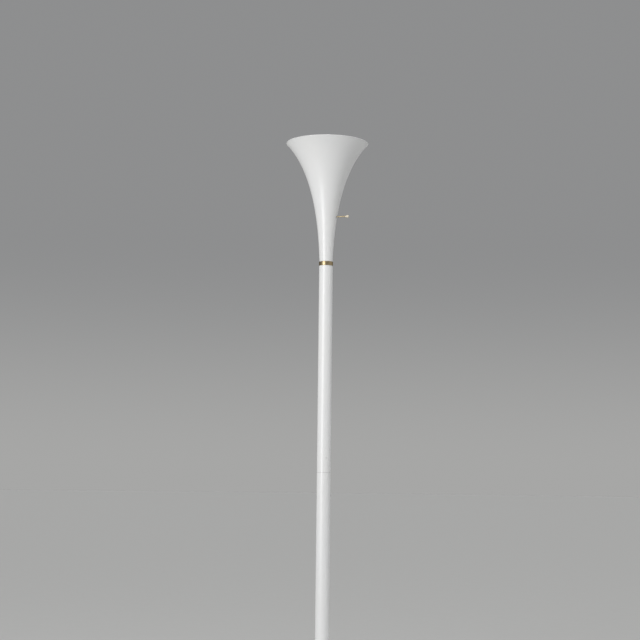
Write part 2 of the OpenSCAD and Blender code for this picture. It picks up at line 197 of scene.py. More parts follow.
def sweep(bm, path, radius, seg):
    """A capped round tube along path, added to bm."""
    points = [Vector(p) for p in path]
    normal = None
    rings = []
    for k, p in enumerate(points):
        ahead = points[min(k + 1, len(points) - 1)] - points[max(k - 1, 0)]
        ahead.normalize()
        if normal is None:
            normal = ahead.orthogonal().normalized()
        normal = (normal - normal.dot(ahead) * ahead).normalized()
        other = ahead.cross(normal)
        turns = [TAU * i / seg for i in range(seg)]
        rings.append([bm.verts.new(p + radius * (math.cos(a) * normal + math.sin(a) * other)) for a in turns])
    for a, b in zip(rings, rings[1:]):
        for i in range(seg):
            k = (i + 1) % seg
            bm.faces.new((a[i], a[k], b[k], b[i]))
    bm.faces.new(rings[0])
    bm.faces.new(rings[-1])


def piece(name, bm, body, slot, material, *nodes, place=None):
    """Turns a bmesh into a shown piece that rides on body and stands for the CAD nodes named."""
    if place is not None:
        bm.transform(place)
    bmesh.ops.recalc_face_normals(bm, faces=bm.faces)
    for face in bm.faces:
        face.smooth = True
    for edge in bm.edges:
        if len(edge.link_faces) == 2 and edge.calc_face_angle(0) > SHARP_EDGE:
            edge.smooth = False
    mesh = bpy.data.meshes.new(name)
    bm.to_mesh(mesh)
    bm.free()
    made = bpy.data.objects.new(name, mesh)
    bpy.context.scene.collection.objects.link(made)
    mesh.materials.append(material)
    normals = made.modifiers.new("even_normals", "WEIGHTED_NORMAL")
    normals.keep_sharp = True
    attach(made, body)
    if nodes:
        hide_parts(*nodes)


def up(z):
    return Matrix.Translation((0, 0, z))


def along_x(z, x=0.0):
    """Local +Z becomes +X, from the point x out and z up on the lamp's side."""
    return Matrix.Translation((x, 0, z)) @ Matrix.Rotation(math.pi / 2, 4, "Y")


# ---------------------------------------------------------------- threads and nuts

def thread_rows(lo, hi, root, crest, pitch, per_turn, runout, height=0.0):
    """Rows of a right-hand thread whose phase is set by the height above the floor."""
    rows = []
    for z in steps(lo, hi, pitch / per_turn):
        fade = max(0.0, min(1.0, (z - lo) / runout, (hi - z) / runout))

        def row(a, z=z, fade=fade):
            lift = 0.5 - 0.5 * math.cos(TAU * ((z + height) / pitch - a / TAU))
            return root + (crest - root) * lift * fade, z

        rows.append(row)
    return rows


def threaded_pipe(lo, hi, crest, bore, pitch=1.0 * MM):
    """Lamp pipe: a threaded tube with its ends chamfered."""
    root = crest - 0.6 * pitch
    rows = [(bore, lo + 0.3 * MM), (bore + 0.3 * MM, lo), (root - 0.2 * MM, lo)]
    rows += thread_rows(lo + 0.2 * MM, hi - 0.2 * MM, root, crest, pitch, 6, pitch)
    rows += [(root - 0.2 * MM, hi), (bore + 0.3 * MM, hi), (bore, hi - 0.3 * MM)]
    return Turned(rows, 48, closed=True).mesh()


def hex_nut(lo, hi, flats, bore):
    """Hexagonal nut with both faces turned to a chamfer."""
    half = flats / 2
    face_r = 0.96 * half

    def side(a):
        return half / math.cos((a % (TAU / 6)) - TAU / 12)

    def drop(a):
        return (side(a) - face_r) * math.tan(math.radians(30))

    rows = [
        (bore, lo + 0.5 * MM), (bore + 0.5 * MM, lo), (face_r, lo),
        lambda a: (side(a), lo + drop(a)), lambda a: (side(a), hi - drop(a)),
        (face_r, hi), (bore + 0.5 * MM, hi), (bore, hi - 0.5 * MM),
    ]
    return Turned(rows, 72, closed=True).mesh()


# ---------------------------------------------------------------- materials

class Shader:
    """A Principled material and short helpers for its node graph. Coordinates are the row frame's."""

    def __init__(self, name, **sockets):
        self.material = bpy.data.materials.new(name)
        self.material.use_nodes = True
        self.tree = self.material.node_tree
        self.bsdf = self.tree.nodes["Principled BSDF"]
        for key, value in sockets.items():
            if isinstance(value, tuple):
                value = (*value, 1.0)
            self.bsdf.inputs[key.replace("_", " ")].default_value = value
        self.where = self.node("ShaderNodeTexCoord").outputs["Object"]
        self.normal = None

    def node(self, kind, inputs=(), **settings):
        made = self.tree.nodes.new(kind)
        for key, value in settings.items():
            setattr(made, key, value)
        for key, value in dict(inputs).items():
            if isinstance(value, bpy.types.NodeSocket):
                self.tree.links.new(value, made.inputs[key])
            else:
                made.inputs[key].default_value = value
        return made

    def vectors(self, operation, *values):
        made = self.node("ShaderNodeVectorMath", enumerate(values), operation=operation)
        return made.outputs["Value" if operation == "LENGTH" else "Vector"]

    def numbers(self, operation, *values):
        return self.node("ShaderNodeMath", enumerate(values), operation=operation).outputs[0]

    def stretched(self, scale):
        """The coordinates times scale, one number per axis."""
        return self.vectors("MULTIPLY", self.where, scale)

    def round_z(self, scale):
        """Distance from the lamp's axis and height: what marks from a lathe vary with."""
        away = self.vectors("LENGTH", self.vectors("MULTIPLY", self.where, (1, 1, 0)))
        both = self.node("ShaderNodeCombineXYZ", {0: away, 2: self.height()})
        return self.vectors("MULTIPLY", both.outputs[0], scale)

    def round_x(self, axis_z):
        """The same for parts turned about an axis along X at height axis_z."""
        moved = self.vectors("SUBTRACT", self.where, (0, 0, axis_z))
        away = self.vectors("LENGTH", self.vectors("MULTIPLY", moved, (0, 1, 1)))
        along = self.node("ShaderNodeSeparateXYZ", {0: self.where}).outputs[0]
        return self.node("ShaderNodeCombineXYZ", {0: away, 2: along}).outputs[0]

    def height(self):
        return self.node("ShaderNodeSeparateXYZ", {0: self.where}).outputs[2]

    def noise(self, scale, detail=3.0, rough=0.55, vector=None, distortion=0.0):
        made = self.node("ShaderNodeTexNoise", {
            "Vector": vector or self.where, "Scale": scale, "Detail": detail,
            "Roughness": rough, "Distortion": distortion,
        })
        return made.outputs["Fac"]

    def cells(self, scale):
        made = self.node("ShaderNodeTexVoronoi", {"Vector": self.where, "Scale": scale})
        return made.outputs["Distance"]

    def remap(self, value, low, high, to_low=0.0, to_high=1.0):
        made = self.node("ShaderNodeMapRange", {
            "Value": value, "From Min": low, "From Max": high, "To Min": to_low, "To Max": to_high,
        }, interpolation_type="SMOOTHSTEP")
        return made.outputs["Result"]

    def times(self, a, b):
        return self.numbers("MULTIPLY", a, b)

    def plus(self, a, b):
        return self.numbers("ADD", a, b)

    def mix(self, share, a, b):
        """Colour a where share is 0 and b where it is 1."""
        a, b = [(*c, 1.0) if isinstance(c, tuple) else c for c in (a, b)]
        made = self.node("ShaderNodeMix", data_type="RGBA")
        for key, value in (("Factor", share), ("A", a), ("B", b)):
            socket = [s for s in made.inputs if s.name == key and s.enabled][0]
            if isinstance(value, bpy.types.NodeSocket):
                self.tree.links.new(value, socket)
            else:
                socket.default_value = value
        return [s for s in made.outputs if s.enabled][0]

    def bump(self, height, depth):
        """Adds relief of that depth in metres."""
        inputs = {"Height": height, "Distance": depth, "Strength": 1.0}
        if self.normal is not None:
            inputs["Normal"] = self.normal
        self.normal = self.node("ShaderNodeBump", inputs).outputs[0]

    def done(self, colour, roughness):
        for key, value in (("Base Color", colour), ("Roughness", roughness), ("Normal", self.normal)):
            self.tree.links.new(value, self.bsdf.inputs[key])
        return self.material


WHITE = (0.862, 0.866, 0.87)
# colour of the darkened bands at joints and edges: partly dust, partly painted shade
GRIME_AND_SHADE = (0.36, 0.34, 0.30)


def enamel(name, ridges=0.0, shade_and_dust_lines=()):
    """Sprayed semi-gloss white enamel.

    ridges is the depth of the metal's spinning marks below it. The (height, reach) pairs name joints and
    edges where the colour is darkened: partly dust, partly painted shade where the parts meet."""
    m = Shader(name, Base_Color=WHITE, Roughness=0.36, Coat_Weight=0.25, Coat_Roughness=0.24, IOR=1.5)
    m.bump(m.noise(380.0, 2.0, 0.5), 22e-6)
    m.bump(m.noise(2600.0, 2.0, 0.6), 1.6e-6)
    if ridges:
        m.bump(m.noise(1.0, 2.0, 0.5, vector=m.round_z((160.0, 160.0, 160.0))), ridges)
    nibs = m.remap(m.cells(170.0), 0.0, 0.045, 1.0, 0.0)
    m.bump(m.times(nibs, m.remap(m.noise(31.0, 2.0), 0.55, 0.62)), 25e-6)
    cloud = m.remap(m.noise(3.2, 4.0, 0.6), 0.35, 0.7)
    warm = tuple(c * k for c, k in zip(WHITE, (0.995, 0.99, 0.975)))
    colour = m.mix(cloud, WHITE, warm)
    dust = m.remap(m.noise(900.0, 3.0, 0.7), 0.66, 0.78)
    colour = m.mix(m.times(dust, 0.12), colour, tuple(0.72 * c for c in WHITE))
    # painted shade and dust: darkens the colour in a band round each joint or edge
    for height, reach in shade_and_dust_lines:
        off = m.numbers("ABSOLUTE", m.numbers("SUBTRACT", m.height(), height))
        ragged = m.plus(off, m.times(m.noise(220.0, 4.0, 0.7), reach))
        grime_and_shade = m.remap(ragged, 0.35 * reach, 1.1 * reach, 0.34, 0.0)
        colour = m.mix(grime_and_shade, colour, GRIME_AND_SHADE)
    scuff = m.remap(m.noise(1.0, 4.0, 0.7, vector=m.stretched((60.0, 60.0, 9.0))), 0.58, 0.8)
    fine = m.remap(m.noise(1.0, 2.0, 0.8, vector=m.stretched((90.0, 1500.0, 240.0))), 0.68, 0.74)
    rough = m.plus(m.remap(m.noise(24.0, 3.0, 0.6), 0.3, 0.7, 0.34, 0.39), m.times(scuff, 0.07))
    return m.done(colour, m.plus(rough, m.times(fine, 0.10)))


def metal(name, colour, stain, rough, marks, wear, vector=None, grain=0.0, edge=1.0):
    """Machined or drawn metal: fine marks along the lathe's turns, uneven gloss and a thin stain.

    marks and grain are depths in metres. edge below 1 dims what it reflects at a glancing angle: a painted
    darker reflection at the part's outer edges."""
    m = Shader(name, Base_Color=colour, Metallic=1.0, Roughness=rough, Specular_Tint=(edge, edge, edge))
    around = vector(m) if vector else m.round_z((1.0, 1.0, 1.0))
    fine = m.noise(5200.0, 2.0, 0.6, vector=around)
    coarse = m.noise(1300.0, 3.0, 0.6, vector=around)
    m.bump(m.plus(m.times(fine, 0.4), coarse), marks)
    if grain:
        m.bump(m.noise(1500.0, 3.0, 0.65), grain)
    cloud = m.remap(m.noise(55.0, 4.0, 0.62), 0.36, 0.72)
    spots = m.remap(m.noise(650.0, 3.0, 0.7), 0.6, 0.76)
    tone = m.plus(m.times(cloud, wear), m.times(spots, wear * 0.6))
    shade = m.mix(tone, colour, stain)
    gloss = m.plus(m.remap(cloud, 0.0, 1.0, rough - 0.05, rough + 0.05),
                   m.times(m.remap(fine, 0.3, 0.7), 0.05))
    return m.done(shade, gloss)


def along_rod(m):
    """Turning marks of the rod and knob, which were turned about the rod's own axis."""
    return m.round_x(switch_z)


def felt_cloth(name):
    m = Shader(name, Base_Color=(0.030, 0.062, 0.045), Roughness=0.95, Sheen_Weight=0.45,
               Sheen_Roughness=0.5)
    fibres = m.noise(1.0, 4.0, 0.75, vector=m.stretched((2600.0, 900.0, 2600.0)), distortion=1.5)
    crossed = m.noise(1.0, 4.0, 0.75, vector=m.stretched((900.0, 2600.0, 2600.0)), distortion=1.5)
    both = m.plus(m.times(fibres, 0.5), m.times(crossed, 0.5))
    m.bump(both, 0.25 * MM)
    m.bump(m.noise(160.0, 3.0, 0.6), 0.15 * MM)
    colour = m.mix(m.remap(both, 0.35, 0.65), (0.018, 0.040, 0.028), (0.050, 0.095, 0.072))
    lint = m.remap(m.noise(1400.0, 2.0, 0.8, distortion=2.0), 0.72, 0.8)
    colour = m.mix(m.times(lint, 0.5), colour, (0.25, 0.28, 0.25))
    return m.done(colour, m.remap(both, 0.3, 0.7, 0.85, 1.0))


def casting(name):
    m = Shader(name, Base_Color=(0.035, 0.035, 0.037), Metallic=0.0, Roughness=0.55)
    sand = m.noise(700.0, 4.0, 0.7)
    m.bump(sand, 0.35 * MM)
    m.bump(m.noise(60.0, 3.0, 0.6), 0.5 * MM)
    rust = m.remap(m.noise(45.0, 5.0, 0.7), 0.58, 0.72)
    colour = m.mix(m.times(rust, 0.7), (0.035, 0.035, 0.037), (0.11, 0.045, 0.022))
    return m.done(colour, m.remap(sand, 0.3, 0.7, 0.42, 0.72))


def moulded(name, colour, other, rough, grain=600.0, depth=8e-6, speckle=0.25, coat=0.0):
    """Moulded plastic, board or fired glass: a faint mould texture and flow marks."""
    m = Shader(name, Base_Color=colour, Roughness=rough, Coat_Weight=coat)
    m.bump(m.noise(grain, 3.0, 0.6), depth)
    flow = m.remap(m.noise(90.0, 4.0, 0.6, distortion=1.2), 0.35, 0.7)
    fleck = m.remap(m.noise(1800.0, 2.0, 0.7), 0.6, 0.75)
    tone = m.plus(m.times(flow, 0.5), m.times(fleck, speckle))
    gloss = m.remap(m.noise(140.0, 3.0, 0.6), 0.3, 0.7, max(0.05, rough - 0.06), rough + 0.08)
    return m.done(m.mix(tone, colour, other), gloss)


def fibre_board(name):
    m = Shader(name, Base_Color=(0.36, 0.25, 0.14), Roughness=0.8)
    strands = m.noise(1.0, 4.0, 0.7, vector=m.stretched((1400.0, 1400.0, 260.0)), distortion=0.8)
    m.bump(strands, 0.05 * MM)
    colour = m.mix(m.remap(strands, 0.3, 0.7), (0.27, 0.18, 0.10), (0.45, 0.33, 0.20))
    return m.done(colour, m.remap(strands, 0.3, 0.7, 0.68, 0.88))


def frosted(name):
    m = Shader(name, Base_Color=(0.96, 0.96, 0.945), Roughness=0.4, IOR=1.5,
               Transmission_Weight=0.4)
    m.bump(m.noise(900.0, 3.0, 0.6), 4e-6)
    veil = m.remap(m.noise(28.0, 4.0, 0.6), 0.35, 0.7)
    colour = m.mix(veil, (0.965, 0.965, 0.95), (0.90, 0.90, 0.885))
    return m.done(colour, m.remap(m.noise(300.0, 3.0, 0.6), 0.3, 0.7, 0.36, 0.5))


def clear(name):
    m = Shader(name, Base_Color=(0.95, 0.97, 0.97), Roughness=0.04, IOR=1.52,
               Transmission_Weight=1.0)
    m.bump(m.noise(260.0, 2.0, 0.5), 12e-6)
    streak = m.remap(m.noise(120.0, 3.0, 0.5), 0.4, 0.7)
    return m.done(m.mix(streak, (0.95, 0.97, 0.97), (0.84, 0.88, 0.87)),
                  m.remap(streak, 0.0, 1.0, 0.03, 0.10))


def insulation(name, colour, other):
    m = Shader(name, Base_Color=colour, Roughness=0.5)
    m.bump(m.noise(1.0, 3.0, 0.6, vector=m.stretched((2500.0, 2500.0, 120.0))), 6e-6)
    tone = m.remap(m.noise(70.0, 4.0, 0.6), 0.35, 0.7)
    return m.done(m.mix(tone, colour, other), m.remap(tone, 0.0, 1.0, 0.42, 0.6))


# ---------------------------------------------------------------- sizes, read from the CAD parts

def low(node):
    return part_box(node)[0]


def high(node):
    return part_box(node)[1]


def middle_z(node):
    return (low(node).z + high(node).z) / 2


pole_r = high("lower_tube").x
bore_r = pole_r - 1.2 * MM
pipe_r = high("neck_nipple").x
pipe_bore = pipe_r - 1.2 * MM
clear_r = pipe_r + 0.4 * MM
tapped_r = pipe_r + 0.05 * MM
base_r = high("base_cover").x
base_top = high("base_cover").z
neck_z = low("neck_ring").z
shade_z = low("shade").z
switch_z = middle_z("switch_rod")
cord_z = middle_z("cord_bushing")
joint_z = middle_z("coupler_screw")
bulb_z = low("bulb_tip").z
seam_z = high("lower_tube").z
WALL = 1.2 * MM
DISH_DEPTH = 1.0 * MM
DISH_BALL = 11 * MM
THREAD_PITCH = 3.629 * MM

# Darkened bands at the pole's joints, the base's hem and the shade's foot: partly dust, partly painted shade.
white = enamel("pole_enamel_paint", shade_and_dust_lines=((base_top, 3 * MM), (seam_z, 1.6 * MM), (neck_z, 1.8 * MM)))
base_white = enamel("base_enamel_paint", ridges=6e-6, shade_and_dust_lines=((low("base_cover").z, 4 * MM),))
spun_white = enamel("shade_enamel_paint", ridges=10e-6, shade_and_dust_lines=((shade_z, 1.8 * MM),))
# One brass in three copies: the ring's and the rod's are darker, painted shade and dark reflections, and the
# knob's is paler, a painted highlight. edge below 1 paints dark glancing reflections.
polished = metal("neck_brass", (0.43, 0.34, 0.205), (0.24, 0.17, 0.09), 0.385, 3e-6, wear=0.4,
                 edge=0.25)
rod_brass = metal("rod_brass", (0.42, 0.35, 0.225), (0.25, 0.18, 0.09), 0.34, 4e-6, wear=0.4,
                  vector=along_rod, edge=0.3)
knob_brass = metal("knob_brass", (0.94, 0.87, 0.72), (0.70, 0.60, 0.42), 0.50, 3e-6, wear=0.2,
                   vector=along_rod)
bright_brass = metal("lampholder_plate", (0.74, 0.58, 0.30), (0.45, 0.30, 0.12), 0.24, 3e-6, wear=0.4)
strip_brass = metal("contact_strip", (0.76, 0.60, 0.33), (0.40, 0.28, 0.13), 0.34, 4e-6, wear=0.5)
zinc = metal("zinc_plate", (0.62, 0.63, 0.62), (0.42, 0.41, 0.36), 0.36, 6e-6, wear=0.5, grain=4e-6)
spring = metal("oiled_spring_steel", (0.20, 0.20, 0.21), (0.09, 0.08, 0.08), 0.42, 6e-6, wear=0.6)
turned_steel = metal("turned_steel", (0.50, 0.50, 0.50), (0.30, 0.26, 0.22), 0.34, 14e-6, wear=0.45)
aluminium = metal("drawn_aluminium", (0.80, 0.80, 0.79), (0.62, 0.61, 0.58), 0.28, 5e-6, wear=0.35)
tin = metal("solder_tin", (0.58, 0.58, 0.59), (0.36, 0.36, 0.37), 0.38, 4e-6, wear=0.5, grain=20e-6)
nickel = metal("nickel_wire", (0.60, 0.57, 0.52), (0.38, 0.33, 0.27), 0.30, 3e-6, wear=0.4)
tungsten = metal("tungsten_wire", (0.30, 0.30, 0.31), (0.18, 0.17, 0.17), 0.45, 2e-6, wear=0.4)
bare_copper = metal("bare_copper", (0.80, 0.42, 0.27), (0.38, 0.18, 0.10), 0.32, 3e-6, wear=0.5)
iron = casting("black_casting")
felt = felt_cloth("green_felt")
nylon = moulded("ivory_nylon", (0.70, 0.68, 0.62), (0.56, 0.53, 0.46), 0.45)
phenolic = moulded("dark_phenolic", (0.030, 0.019, 0.014), (0.060, 0.034, 0.022), 0.28, coat=0.2)
black_glass = moulded("black_vitrite", (0.012, 0.012, 0.016), (0.030, 0.028, 0.034), 0.14, grain=260.0,
                      depth=14e-6, speckle=0.1)
board = fibre_board("vulcanised_board")
frost = frosted("frosted_bulb_glass")
pressed_glass = clear("clear_stem_glass")
dark_vinyl = insulation("black_vinyl", (0.022, 0.022, 0.023), (0.045, 0.044, 0.043))
light_vinyl = insulation("ivory_vinyl", (0.72, 0.69, 0.61), (0.60, 0.56, 0.47))


def ring_piece(name, slot, material, node, bore, edge=0.35 * MM):
    """A turned ring that fills its CAD node's box, with rounded edges."""
    lo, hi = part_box(node)
    outline = [(bore, lo.z), (hi.x, lo.z), (hi.x, hi.z), (bore, hi.z)]
    bm = Turned(rounded(outline, edge), 96, closed=True).mesh()
    piece(name, bm, "stand", slot, material, node)


# ---------------------------------------------------------------- base

def make_felt():
    """A felt disc whose cut edge is a little ragged."""
    r, top = high("base_felt").x, high("base_felt").z
    fray, patch = 0.12 * MM, 60

    def fuzzy(inset, z):
        def row(a):
            ragged = noise.noise(Vector((math.cos(a), math.sin(a), z / MM)) * patch)
            return r - inset - fray * (1 + ragged), z
        return row

    shares = [k / 8 for k in range(8)]
    edge = [(0.6, 0), (0.15, 0.25), (0, 0.8), (0, 1.5), (0, 2.2), (0.15, 2.75), (0.6, top / MM)]
    rows = [(r * k, 0) for k in shares]
    rows += [fuzzy(inset * MM, z * MM) for inset, z in edge]
    rows += [(r * k, top) for k in shares[::-1]]
    piece("felt_pad", Turned(rows, 320).mesh(), "stand", "felt", felt, "base_felt")


def make_cover():
    """The spun cover: a low dome, a round shoulder, and a straight skirt with a rolled hem."""
    brow = (base_r - 22 * MM, base_top - 5.6 * MM)
    shoulder = [(base_r, 13 * MM), (base_r, 20.5 * MM), (base_r - 6 * MM, base_top - 7 * MM), brow]
    top = [brow, (base_r - 50 * MM, base_top - 3.1 * MM), (base_r - 80 * MM, base_top),
           (pole_r + 2 * MM, base_top)]
    hem_r, cord_hole_r, spacing = 1.3 * MM, 4.2 * MM, 1.15 * MM
    hem = (base_r - hem_r, low("base_cover").z + hem_r)
    skirt = [cord_z + spacing * k for k in range(-4, 5)]

    def skin(offset):
        """From the centre outwards and down to the hem."""
        upper = curve(top, 30, offset)[::-1] + curve(shoulder, 26, offset)[::-1][1:-2]
        return [Vector((clear_r, base_top - offset))] + upper + [
            Vector((base_r - offset, z)) for z in skirt[::-1]]

    outer, inner = skin(0), skin(WALL)
    meets = math.degrees(math.acos((hem_r - WALL) / hem_r))
    rows = [*outer, *arc(hem, hem_r, 0, meets - 360, 22), *inner[::-1]]
    shell = Turned(rows, 360, closed=True)
    outside = (0, len(outer) - 1)
    inside = (len(rows) - len(inner), len(rows) - 1)
    shell.join(*[shell.hole(math.pi, cord_z, cord_hole_r, (3, 4), side) for side in (outside, inside)])
    piece("spun_base_cover", shell.mesh(), "stand", "white_enamel", base_white, "base_cover")


def make_bushing():
    outline = [(3.3, -2), (5.8, -2), (5.8, 0), (4.1, 0), (4.1, 3), (4.8, 3), (4.1, 5), (4.1, 9), (3.3, 9)]
    radii = [0.7, 0.8, 0.15, 0.1, 0.1, 0.2, 0.3, 0.4, 0.5]
    bm = Turned(rounded(in_mm(outline), [r * MM for r in radii], 5), 64, closed=True).mesh()
    piece("cord_inlet_bushing", bm, "stand", "bushing_plastic", nylon, "cord_bushing",
          place=along_x(cord_z, -base_r))


def make_pipe(name, node):
    lo, hi = low(node).z, high(node).z
    piece(name, threaded_pipe(lo, hi, pipe_r, pipe_bore), "stand", "zinc_steel", zinc, node)


def make_nut(name, node):
    flats = 2 * high(node).y
    bm = hex_nut(low(node).z, high(node).z, flats, tapped_r)
    piece(name, bm, "stand", "zinc_steel", zinc, node)


# ---------------------------------------------------------------- pole

TUBE_END = 0.5 * MM
TUBE_EDGE = 0.35 * MM
TUBE_SEG = 128
RING_SPACING = 40 * MM


def tube_ends(node):
    """The rows across a pole tube's top and across its foot, with their edges rounded."""
    lo, hi = low(node).z, high(node).z
    top = [(pole_r, hi - TUBE_END), (pole_r, hi), (bore_r, hi), (bore_r, hi - TUBE_END)]
    foot = [(bore_r, lo + TUBE_END), (bore_r, lo), (pole_r, lo), (pole_r, lo + TUBE_END)]
    return [rounded(line, TUBE_EDGE, closed=False)[1:-1] for line in (top, foot)]


def make_lower_tube():
    lo, hi = low("lower_tube").z + TUBE_END, high("lower_tube").z - TUBE_END
    top, foot = tube_ends("lower_tube")
    sides = [(pole_r, z) for z in steps(lo, hi, RING_SPACING)]
    backs = [(bore_r, z) for z in steps(lo, hi, 2 * RING_SPACING)][::-1]
    bm = Turned(sides + top + backs + foot, TUBE_SEG, closed=True).mesh()
    piece("lower_pole_tube", bm, "stand", "white_enamel", white, "lower_tube")


def make_upper_tube():
    """The upper tube, with a dish pressed round the joint's grub screw and a hole in the dish."""
    lo, hi = low("upper_tube").z + TUBE_END, high("upper_tube").z - TUBE_END
    screw_hole_r, spacing, soft = 2.6 * MM, 1.2 * MM, 0.05 * MM
    near = [joint_z + spacing * k for k in range(-5, 6)]
    heights = steps(lo, near[0], RING_SPACING)[:-1] + near + steps(near[-1], hi, RING_SPACING)[1:]
    top, foot = tube_ends("upper_tube")
    sides = [(pole_r, z) for z in heights]
    backs = [(bore_r, z) for z in heights[::-1]]
    tube = Turned(sides + top + backs + foot, TUBE_SEG, closed=True)

    def pressed(r, u, v):
        """The tube's skin, or the bottom of the pressed dish where that lies deeper."""
        sphere = DISH_BALL - math.sqrt(DISH_BALL**2 - u * u - v * v)
        dish = pole_r - DISH_DEPTH + sphere + u * u / (2 * pole_r)
        gap = (dish - r) / soft
        return r - soft * math.log1p(math.exp(max(-40, min(40, -gap))))

    turn = joint_angle() % TAU
    outside = tube.hole(turn, joint_z, screw_hole_r, (5, 5), (0, len(sides) - 1), 10, pressed)
    first = len(sides) + len(top)
    inside = tube.hole(turn, joint_z, screw_hole_r, (5, 5), (first, first + len(backs) - 1), 3)
    tube.join(outside, inside)
    piece("upper_pole_tube", tube.mesh(), "stand", "white_enamel", white, "upper_tube")


def joint_angle():
    """Direction of the joint's grub screw, from the middle of its CAD node."""
    middle = (low("coupler_screw") + high("coupler_screw")) / 2
    return math.atan2(middle.y, middle.x)


def carved(bm, cutter):
    """The bmesh with the cutter taken away."""
    made = []
    for part in (bm, cutter):
        bmesh.ops.recalc_face_normals(part, faces=part.faces)
        mesh = bpy.data.meshes.new("blank")
        part.to_mesh(mesh)
        part.free()
        made.append(bpy.data.objects.new("blank", mesh))
        bpy.context.scene.collection.objects.link(made[-1])
    cut = made[0].modifiers.new("cut", "BOOLEAN")
    cut.object, cut.operation, cut.solver = made[1], "DIFFERENCE", "EXACT"
    result = bmesh.new()
    result.from_object(made[0], bpy.context.evaluated_depsgraph_get())
    for blank in made:
        bpy.data.objects.remove(blank)
    bmesh.ops.dissolve_degenerate(result, dist=1e-6, edges=result.edges)
    return result


def block(lo, hi):
    """A cutter: a plain box between two corners."""
    bm = bmesh.new()
    bmesh.ops.create_cube(bm, size=1)
    size = Vector(hi) - Vector(lo)
    bm.transform(Matrix.Translation((Vector(lo) + Vector(hi)) / 2) @ Matrix.Diagonal((*size, 1)))
    return bm


def slotted(outline, seg, slot_w, slot_z):
    """A turned screw, outline from its tip to the middle of its head, with a driver slot."""
    top = max(z for _, z in outline)
    reach = 2 * max(r for r, _ in outline)
    body = Turned(outline, seg).mesh()
    return carved(body, block((-reach, -slot_w / 2, slot_z), (reach, slot_w / 2, top + 1 * MM)))


def make_grub_screw():
    face = pole_r - DISH_DEPTH
    tip, r = face - 5 * MM, 2.5 * MM
    outline = rounded([(0, tip), (r, tip), (r, face), (0, face)], [0, 0.5 * MM, 0.25 * MM, 0],
                      closed=False)
    bm = slotted(outline, 40, 0.8 * MM, face - 1.0 * MM)
    outwards = Matrix.Rotation(joint_angle(), 4, "Z") @ Matrix.Rotation(math.pi / 2, 4, "Y")
    piece("joint_grub_screw", bm, "stand", "white_enamel", white, "coupler_screw",
          place=up(joint_z) @ outwards)


def make_neck_ring():
    r = high("neck_ring").x
    lo, hi = low("neck_ring").z, high("neck_ring").z
    recess_r, web = r - 4 * MM, hi - 3 * MM
    outline = [(recess_r, lo), (r, lo), (r, hi), (clear_r, hi), (clear_r, web), (recess_r, web)]
    rows = rounded(outline, [0.4 * MM, 0.7 * MM, 0.7 * MM, 0.3 * MM, 0.3 * MM, 0.5 * MM], 6)
    bm = Turned(rows, 192, closed=True).mesh()
    piece("brass_neck_ring", bm, "stand", "brass", polished, "neck_ring")


# ---------------------------------------------------------------- shade

def height_share(p, z):
    """Parameter of the curve p at height z."""
    lo, hi = 0.0, 1.0
    for _ in range(40):
        mid = (lo + hi) / 2
        lo, hi = (mid, hi) if bezier(p, mid).y < z else (lo, mid)
    return lo


def make_shade():
    """The spun trumpet: one flared curve from a flat foot to a bead rolled round the rim."""
    foot_r, mouth_r, h, bead_r, rod_hole_r = (k * MM for k in (21.4, 132.5, 387.6, 1.3, 3.6))
    flare = [(foot_r, 0), (25.9 * MM, 0.348 * h), (48.4 * MM, 0.771 * h), (mouth_r, h)]
    hole_z = switch_z - shade_z
    near = [hole_z + 0.7 * MM * k for k in range(-8, 9)]
    spacing, even_to, last, share_step = 5 * MM, 290 * MM, 0.9966, 0.0085
    heights = steps(3 * MM, near[0], spacing)[:-1] + near + steps(near[-1], even_to, spacing)[1:]
    shares = [height_share(flare, z) for z in heights]
    shares += steps(shares[-1], last, share_step)[1:]
    outer = [beside(flare, t, 0) for t in shares]
    inner = [beside(flare, t, WALL) for t in shares]

    end = bezier(flare, 1)
    ahead = (end - bezier(flare, 0.999)).normalized()
    centre = end + WALL / 2 * Vector((-ahead.y, ahead.x))
    lean = math.degrees(math.atan2(ahead.y, ahead.x))
    back = 180 - math.degrees(math.asin(WALL / 2 / bead_r))
    foot = rounded([(clear_r, 0), (foot_r, 0), outer[0]], [0, 1.4 * MM, 0], 6, closed=False)
    floor = rounded([inner[0], (inner[0].x - 0.05 * MM, WALL), (clear_r, WALL)], [0, 1.0 * MM, 0], 5,
                    closed=False)
    rows = foot[:-1] + outer + arc(centre, bead_r, lean - back, lean + back, 26)
    first, first_inner = len(foot) - 1, len(rows)
    rows += inner[::-1] + floor[1:]
    shell = Turned(rows, 240, closed=True)
    sides = [(k, k + len(shares) - 1) for k in (first, first_inner)]
    shell.join(*[shell.hole(0.0, hole_z, rod_hole_r, (8, 8), side, 5) for side in sides])
    piece("spun_trumpet_shade", shell.mesh(), "stand", "shade_enamel", spun_white, "shade",
          place=up(shade_z))


# ---------------------------------------------------------------- lampholder

def make_socket_cap():
    """The lampholder's cap: a neck, a round shoulder and a lip with two rolled beads."""
    shoulder, corner = arc((10, -10), 8, -90, 0, 15), arc((10, -10), 7.3, 0, -90, 15)
    beads = []
    for z in (-8.4, -6.0):
        beads += [(18 + 0.35 * math.sin(math.pi * k / 6), z - 0.6 + 0.2 * k) for k in range(7)]
    neck = [(5.05, -27), (7, -27), (7, -18.8), (7.8, -18)]
    lip = [(18, -4.2), (17.85, -4), (17.7, -4), (17.55, -4.2), (17.55, -9.4)]
    outline = neck + shoulder + beads + lip + corner + [(5.05, -17.3)]
    piece("lampholder_cap", Turned(in_mm(outline), 128, closed=True).mesh(), "stand",
          "lampholder_brass", bright_brass, "socket_cap", place=up(switch_z))


def merged(parts):
    """One bmesh from several."""
    bm = bmesh.new()
    for part in parts:
        mesh = bpy.data.meshes.new("part")
        part.to_mesh(mesh)
        part.free()
        bm.from_mesh(mesh)
        bpy.data.meshes.remove(mesh)
    return bm


